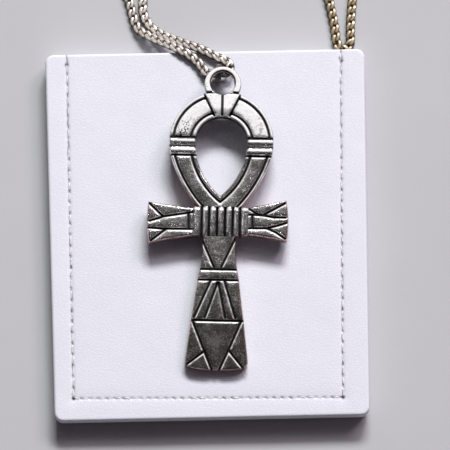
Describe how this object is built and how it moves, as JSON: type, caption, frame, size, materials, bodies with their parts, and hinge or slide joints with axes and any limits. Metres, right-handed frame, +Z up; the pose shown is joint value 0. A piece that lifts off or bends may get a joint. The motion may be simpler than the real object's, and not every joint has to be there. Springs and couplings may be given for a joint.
{
  "type": "ankh pendant on a chain with a display pad",
  "caption": "Cast ankh pendant with a hanging ring and a rear bail on a fine looped chain with a ring clasp, lying on a flat stitched display pad.",
  "frame": {"origin": "middle of the display pad's underside, on the surface that the part rests on", "axes": "+Z up, away from the surface; +Y along the pad from the pendant's foot to its ring and on along the chain; +X to the right as seen from above"},
  "size_m": [0.056, 0.1534, 0.0089],
  "materials": {
    "antique_silver": "cast, darkened in the cuts and polished on the relief",
    "chain_metal": "bright wire with a warm tarnish",
    "pad_leather": "white fine-grained leatherette, matt"
  },
  "bodies": {
    "root": {"pendant": "antique_silver", "chain": "chain_metal", "clasp": "chain_metal", "display_pad": "pad_leather"}
  },
  "joints": []
}
